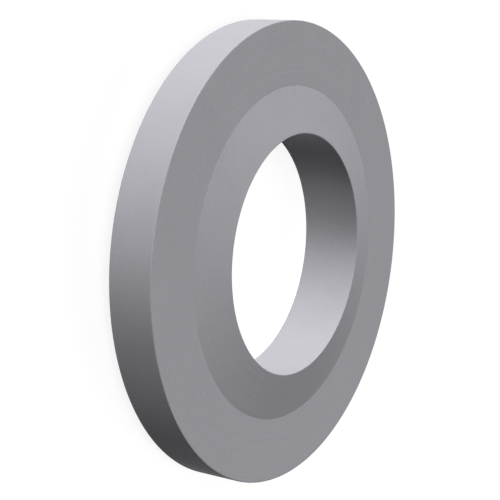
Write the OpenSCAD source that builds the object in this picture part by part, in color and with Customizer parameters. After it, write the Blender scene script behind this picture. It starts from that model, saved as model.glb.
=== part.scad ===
// Flat washer with a low conical boss on each face, around a bore that widens towards the back.
// It lies on the crest of its back boss, with its axis along Z and its front face up.

/* [Ring] */
// Outer diameter of the washer
outer_d = 20; // [18:0.5:30]
// Thickness of the flat outer ring
ring_t = 2; // [1:0.1:3.5]

/* [Bosses] */
// Diameter of the circle where each boss starts to rise from the flat ring
boss_d = 14.5; // [13.5:0.1:17]
// Slope of each boss against the flat ring, in degrees
boss_slope = 12.7; // [4:0.1:20]

/* [Bore] */
// Diameter of the bore at its narrow end, the front rim
bore_d = 10.45; // [8:0.05:11.5]
// Draft of the bore wall on each side, in degrees
bore_draft = 3.25; // [0.5:0.05:5]

/* [Edges] */
// Length taken off each side of a sharp edge by its break
edge_break = 0.05; // [0.02:0.01:0.15]

/* [Hidden] */
$fn = 180;

steel_grey = [0.57, 0.565, 0.585];

// The section is drawn to the right of the axis, as [radius, height above the ring's mid-plane]
outer_r = outer_d / 2;
boss_r = boss_d / 2;
ring_z = ring_t / 2;
rise_per_mm = tan(boss_slope);
draft_per_mm = tan(bore_draft);

// Front rim of the bore, on the front boss
front_bore_r = bore_d / 2;
front_crest_z = ring_z + (boss_r - front_bore_r) * rise_per_mm;

// Back rim of the bore, where the drafted wall comes out through the back boss
back_bore_r = (front_bore_r + draft_per_mm * (front_crest_z + ring_z + boss_r * rise_per_mm))
    / (1 + draft_per_mm * rise_per_mm);
back_crest_z = -ring_z - (boss_r - back_bore_r) * rise_per_mm;

front_outer = [outer_r, ring_z];
front_foot = [boss_r, ring_z];
front_crest = [front_bore_r, front_crest_z];
back_crest = [back_bore_r, back_crest_z];
back_foot = [boss_r, -ring_z];
back_outer = [outer_r, -ring_z];

section = concat(
    broken_edge(back_outer, front_outer, front_foot),
    [front_foot],
    broken_edge(front_foot, front_crest, back_crest),
    broken_edge(front_crest, back_crest, back_foot),
    [back_foot],
    broken_edge(back_foot, back_outer, front_outer)
);

// Height of the circle that the washer lies on
seat_z = min([for (point = section) point.y]);

// The point at a distance from one corner of the section towards another
function towards(from, to, distance) = from + distance * (to - from) / norm(to - from);

// The two points that replace a corner of the section where its edge is broken
function broken_edge(before, corner, after) = [
    towards(corner, before, edge_break),
    towards(corner, after, edge_break)
];

module washer() {
    color(steel_grey)
        translate([0, 0, -seat_z])
            rotate_extrude()
                polygon(section);
}

washer();
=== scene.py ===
"""A matte grey steel washer lying on a pale floor, seen from above at a slant."""

import itertools
import math

import bmesh
import bpy
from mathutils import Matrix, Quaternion, Vector, geometry

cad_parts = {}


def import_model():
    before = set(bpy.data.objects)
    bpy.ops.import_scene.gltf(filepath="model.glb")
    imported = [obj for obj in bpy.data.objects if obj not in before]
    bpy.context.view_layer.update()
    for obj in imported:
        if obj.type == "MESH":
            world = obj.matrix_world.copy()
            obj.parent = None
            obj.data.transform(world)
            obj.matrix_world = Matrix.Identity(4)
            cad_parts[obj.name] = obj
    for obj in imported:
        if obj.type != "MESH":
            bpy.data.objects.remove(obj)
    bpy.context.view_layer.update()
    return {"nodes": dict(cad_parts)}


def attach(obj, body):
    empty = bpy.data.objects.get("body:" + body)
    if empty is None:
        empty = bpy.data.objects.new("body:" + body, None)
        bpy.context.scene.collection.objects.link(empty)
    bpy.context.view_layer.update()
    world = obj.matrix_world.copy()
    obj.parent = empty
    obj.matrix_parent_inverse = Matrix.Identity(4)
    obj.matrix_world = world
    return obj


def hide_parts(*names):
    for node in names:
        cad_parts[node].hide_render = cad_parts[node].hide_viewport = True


MM = 0.001
WHITE = (1, 1, 1, 1)

# Mesh of the washer, whose edge breaks are the only sides of its section under LONGEST_BREAK
SEGMENTS = 720
ARC_STEPS = 6
LONGEST_BREAK = 0.3 * MM
SAME_POINT = 0.001 * MM
STRAIGHT = math.radians(1)

# Steel, not metallic here, because it would then mirror the white backdrop all round
STEEL_DARK = (0.268, 0.264, 0.286, 1)
STEEL_LIGHT = (0.292, 0.288, 0.311, 1)
STEEL_METALLIC = 0.0
STEEL_SPECULAR = 0.06
ROUGHNESS = (0.6, 0.7)
RELIEF = 0.006 * MM

# Patterns in the steel. The lay is the faint marks that turning leaves round the axis. One turn
# takes its noise round a circle with the radius LAY_CIRCLE, so it changes little on the way.
NOISE_RANGE = (0.3, 0.7)
GRAIN_PER_MM = 9
GRAIN_DETAIL = 3
MOTTLE_PER_MM = 0.6
MOTTLE_DETAIL = 5
LAY_PER_MM = 6
LAY_CIRCLE = 1.5
LAY_DETAIL = 2

# Floor, with a grey for what sees it and another for the light that it casts on the washer
FLOOR_SIZE = 2000 * MM
FLOOR_GREY_SEEN = 0.4
FLOOR_GREY_CAST = 0.1
FLOOR_GLOW = 0.635

# Light
WORLD_GREY = 0.02
SUNS = [
    # name, azimuth, elevation, strength, softness in degrees, casts a shadow
    ("key", 199, 20, 1.58, 20, False),
    ("top", 255, 55, 0.295, 60, True),
    ("low", 232, -20, 0.65, 20, False),
    ("back", 68, 38, 0.26, 40, True),
]

# Camera, which looks along +Y and down at a point on the floor, and is turned on its side
CAMERA_AIM = Vector((0.061, 0.498, 0)) * MM
CAMERA_DISTANCE = 58.289 * MM
CAMERA_NEAREST = 1 * MM
CAMERA_AZIMUTH = -90
CAMERA_ELEVATION = 32.313
CAMERA_ROLL = 97.138
LENS_MM = 93.792
SENSOR_MM = 36


def section_of(node):
    """The corners of a turned node's section, as (radius, height), in order round it."""
    points = []
    for vertex in node.data.vertices:
        point = Vector((math.hypot(vertex.co.x, vertex.co.y), vertex.co.z))
        if all((point - other).length > SAME_POINT for other in points):
            points.append(point)
    centre = sum(points, Vector((0, 0))) / len(points)
    points.sort(key=lambda p: math.atan2(p.y - centre.y, p.x - centre.x))
    return [
        point
        for before, point, after in zip(points[-1:] + points, points, points[1:] + points[:1])
        if (point - before).angle(after - point) > STRAIGHT
    ]


def arc(start, tip, end):
    """Points on a curve that leaves start towards the tip and meets end as if from the tip."""
    steps = [step / ARC_STEPS for step in range(ARC_STEPS + 1)]
    return [start * (1 - t) ** 2 + tip * 2 * t * (1 - t) + end * t**2 for t in steps]


def rounded(corners):
    """The section with its edge breaks as arcs: a list of runs, each smooth along its points."""
    runs = []
    count = len(corners)
    for i in range(count):
        before, start, end, after = (corners[(i + k) % count] for k in (-1, 0, 1, 2))
        if (end - start).length > LONGEST_BREAK:
            runs.append([start, end])
            continue
        tip = geometry.intersect_line_line(
            before.to_3d(), start.to_3d(), end.to_3d(), after.to_3d()
        )[0].to_2d()
        runs.append(arc(start, tip, end))
    return runs


def add_object(name, data):
    """A new object in the scene."""
    piece = bpy.data.objects.new(name, data)
    bpy.context.scene.collection.objects.link(piece)
    return piece


def revolved(name, runs):
    """A closed mesh: the section's runs turned round the Z axis, creased where two runs meet."""
    bm = bmesh.new()
    turns = [2 * math.pi * i / SEGMENTS for i in range(SEGMENTS)]
    rings = [
        [bm.verts.new((p.x * math.cos(a), p.x * math.sin(a), p.y)) for a in turns]
        for run in runs
        for p in run[:-1]
    ]
    for ring, above in zip(rings, rings[1:] + rings[:1]):
        for i in range(SEGMENTS):
            face = bm.faces.new((ring[i - 1], ring[i], above[i], above[i - 1]))
            face.smooth = True
    run_starts = itertools.accumulate((len(run) - 1 for run in runs[:-1]), initial=0)
    for start in run_starts:
        ring = rings[start]
        for i in range(SEGMENTS):
            bm.edges.get((ring[i - 1], ring[i])).smooth = False
    bmesh.ops.recalc_face_normals(bm, faces=bm.faces)
    mesh = bpy.data.meshes.new(name)
    bm.to_mesh(mesh)
    bm.free()
    return add_object(name, mesh)


def new_material(name):
    """A new material with nodes."""
    material = bpy.data.materials.new(name)
    material.use_nodes = True
    return material


def add_node(tree, kind, inputs, **settings):
    """A new node and its outputs: an input is given a value, or the output that feeds it."""
    node = tree.nodes.new("ShaderNode" + kind)
    for name, value in settings.items():
        setattr(node, name, value)
    for key, value in inputs.items():
        if isinstance(value, bpy.types.NodeSocket):
            tree.links.new(value, node.inputs[key])
        else:
            node.inputs[key].default_value = value
    return node.outputs


def math_node(tree, operation, a, b, clamp=False):
    """An operation on two numbers."""
    return add_node(tree, "Math", {0: a, 1: b}, operation=operation, use_clamp=clamp)[0]


def mean(tree, a, b):
    """The mean of two numbers."""
    return math_node(tree, "MULTIPLY", math_node(tree, "ADD", a, b), 0.5)


def vector_node(tree, operation, **inputs):
    """A vector operation: its vector inputs are named a and b, and its number scale."""
    sockets = {{"a": 0, "b": 1, "scale": "Scale"}[name]: value for name, value in inputs.items()}
    outputs = add_node(tree, "VectorMath", sockets, operation=operation)
    return outputs["Value" if operation == "LENGTH" else "Vector"]


def spread(tree, value, low, high, value_range=(0, 1)):
    """A value moved from its own range to the one from low to high, and held inside it."""
    least, most = value_range
    inputs = {"Value": value, "From Min": least, "From Max": most, "To Min": low, "To Max": high}
    return add_node(tree, "MapRange", inputs)[0]


def noise(tree, vector, scale, detail):
    """Soft noise, most of which lies within NOISE_RANGE."""
    return add_node(tree, "TexNoise", {"Vector": vector, "Scale": scale, "Detail": detail})["Fac"]


def lay_noise(tree, place_mm):
    """Noise that changes fast across the lay, outwards or upwards, and slowly round the axis."""
    outward = vector_node(tree, "MULTIPLY", a=place_mm, b=(1, 1, 0))
    height = add_node(tree, "SeparateXYZ", {0: place_mm})["Z"]
    across = math_node(tree, "ADD", vector_node(tree, "LENGTH", a=outward), height)
    across = math_node(tree, "MULTIPLY", across, LAY_PER_MM)
    lift = add_node(tree, "CombineXYZ", {"Z": across})[0]
    around = vector_node(tree, "NORMALIZE", a=outward)
    around = vector_node(tree, "SCALE", a=around, scale=LAY_CIRCLE)
    return noise(tree, vector_node(tree, "ADD", a=around, b=lift), scale=1, detail=LAY_DETAIL)


def steel():
    """Matte grey steel with a soft mottle, a fine grain and faint marks that run round the axis."""
    material = new_material("matte_steel")
    tree = material.node_tree
    place = add_node(tree, "TexCoord", {})["Object"]
    place_mm = vector_node(tree, "SCALE", a=place, scale=1 / MM)
    lay = lay_noise(tree, place_mm)
    grain = noise(tree, place_mm, GRAIN_PER_MM, GRAIN_DETAIL)
    mottle = noise(tree, place_mm, MOTTLE_PER_MM, MOTTLE_DETAIL)

    spots = spread(tree, mean(tree, mottle, grain), 0, 1, NOISE_RANGE)
    colour = add_node(
        tree, "Mix", {"Factor": spots, "A": STEEL_DARK, "B": STEEL_LIGHT}, data_type="RGBA"
    )["Result"]
    roughness = spread(tree, mottle, *ROUGHNESS, NOISE_RANGE)
    relief = math_node(tree, "ADD", lay, grain)
    bump = add_node(tree, "Bump", {"Height": relief, "Distance": RELIEF})[0]

    shader = tree.nodes["Principled BSDF"]
    shader.inputs["Metallic"].default_value = STEEL_METALLIC
    shader.inputs["Specular IOR Level"].default_value = STEEL_SPECULAR
    tree.links.new(colour, shader.inputs["Base Color"])
    tree.links.new(roughness, shader.inputs["Roughness"])
    tree.links.new(bump, shader.inputs["Normal"])
    return material


def shows(tree):
    """1 for rays from the camera, off gloss or through glass, and 0 for light on matte surfaces."""
    path = add_node(tree, "LightPath", {})
    seen = math_node(tree, "ADD", path["Is Camera Ray"], path["Is Glossy Ray"])
    return math_node(tree, "ADD", seen, path["Is Transmission Ray"], clamp=True)


def floor():
    """A plane that looks white, and darkens a little where the washer shades it."""
    bpy.ops.mesh.primitive_plane_add(size=FLOOR_SIZE)
    plane = bpy.context.object
    plane.name = "floor"
    material = new_material("floor")
    tree = material.node_tree
    tree.nodes.clear()
    seen = shows(tree)
    glow = math_node(tree, "MULTIPLY", seen, FLOOR_GLOW)
    grey = spread(tree, seen, FLOOR_GREY_CAST, FLOOR_GREY_SEEN)
    glowing = add_node(tree, "Emission", {"Strength": glow})[0]
    matte = add_node(tree, "BsdfDiffuse", {"Color": grey})[0]
    both = add_node(tree, "AddShader", {0: glowing, 1: matte})[0]
    add_node(tree, "OutputMaterial", {"Surface": both})
    plane.data.materials.append(material)
    return plane


def world():
    """A white backdrop that gives matte surfaces only a little light."""
    studio = bpy.data.worlds.new("studio")
    bpy.context.scene.world = studio
    studio.use_nodes = True
    tree = studio.node_tree
    background = tree.nodes["Background"]
    background.inputs["Color"].default_value = WHITE
    tree.links.new(spread(tree, shows(tree), WORLD_GREY, 1), background.inputs["Strength"])


def direction(azimuth, elevation):
    """Unit vector towards an azimuth, measured from +X towards +Y, and an elevation, in degrees."""
    a, e = math.radians(azimuth), math.radians(elevation)
    return Vector((math.cos(a) * math.cos(e), math.sin(a) * math.cos(e), math.sin(e)))


def turn(piece, back, roll=0):
    """Turns a lamp or a camera to have a direction at its back, and by a roll in degrees."""
    piece.rotation_mode = "QUATERNION"
    rolled = Quaternion((0, 0, 1), math.radians(roll))
    piece.rotation_quaternion = back.to_track_quat("Z", "Y") @ rolled


def sun(name, azimuth, elevation, strength, softness, shadow):
    """A far lamp, which at strength 1 shows a matte surface that faces it in its own colour.

    One without a shadow shines through the washer, so it adds no gloss.
    """
    lamp = bpy.data.lights.new(name, "SUN")
    lamp.energy = strength * math.pi
    lamp.angle = math.radians(softness)
    lamp.use_shadow = shadow
    piece = add_object(name, lamp)
    piece.visible_glossy = shadow
    turn(piece, direction(azimuth, elevation))


def camera():
    """The camera, aimed and turned as the constants say."""
    data = bpy.data.cameras.new("camera")
    data.lens = LENS_MM
    data.sensor_width = SENSOR_MM
    data.clip_start = CAMERA_NEAREST
    piece = add_object("camera", data)
    back = direction(CAMERA_AZIMUTH, CAMERA_ELEVATION)
    turn(piece, back, CAMERA_ROLL)
    piece.location = CAMERA_AIM + CAMERA_DISTANCE * back
    bpy.context.scene.camera = piece


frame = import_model()

washer = revolved("washer_body", rounded(section_of(frame["nodes"]["washer"])))
washer.data.materials.append(steel())
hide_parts("washer")
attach(washer, "root")

floor()
world()
for settings in SUNS:
    sun(*settings)
camera()

bpy.context.scene.view_settings.view_transform = "Standard"
